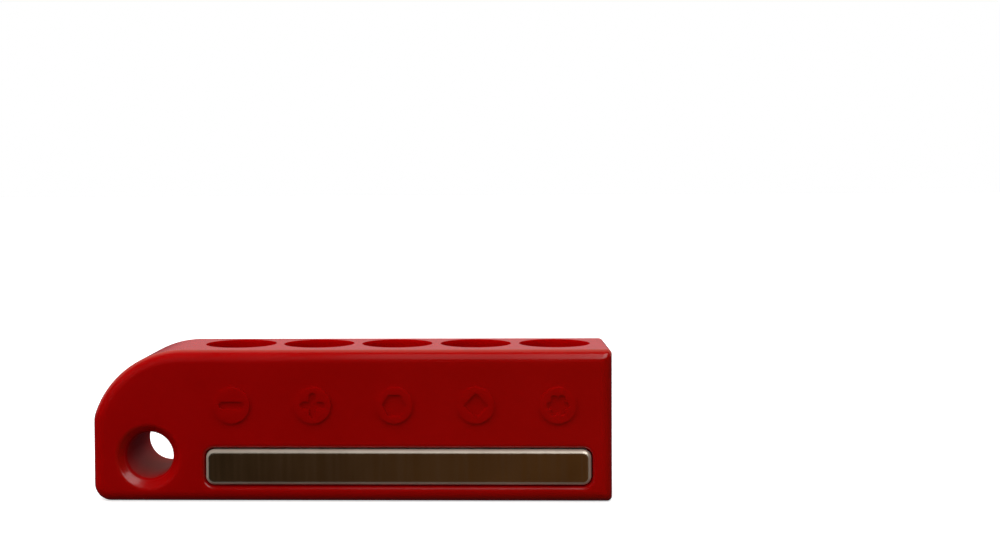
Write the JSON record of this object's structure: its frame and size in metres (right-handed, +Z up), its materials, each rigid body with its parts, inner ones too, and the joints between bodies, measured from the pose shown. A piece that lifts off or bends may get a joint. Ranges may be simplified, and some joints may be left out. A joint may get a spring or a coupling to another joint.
{
  "type": "magnetic bit holder",
  "caption": "Moulded red block that stores hexagonal driver bits upright over a bar magnet and screws to a tool or wall through its rounded nose.",
  "frame": {"origin": "middle of the block's footprint, on its bottom face", "axes": "+Z up, out of the bit sockets; the front face with the magnet looks along -Y; the rounded nose with the screw hole points along -X"},
  "size_m": [0.054, 0.0126, 0.0158],
  "materials": {
    "red_plastic": "moulded, semi-gloss",
    "nickel_plate": "bright nickel plate with a faint vertical grain",
    "cured_adhesive": "cured epoxy"
  },
  "bodies": {
    "root": {"body": "red_plastic", "bar_magnet": "nickel_plate", "magnet_adhesive": "cured_adhesive"}
  },
  "joints": []
}
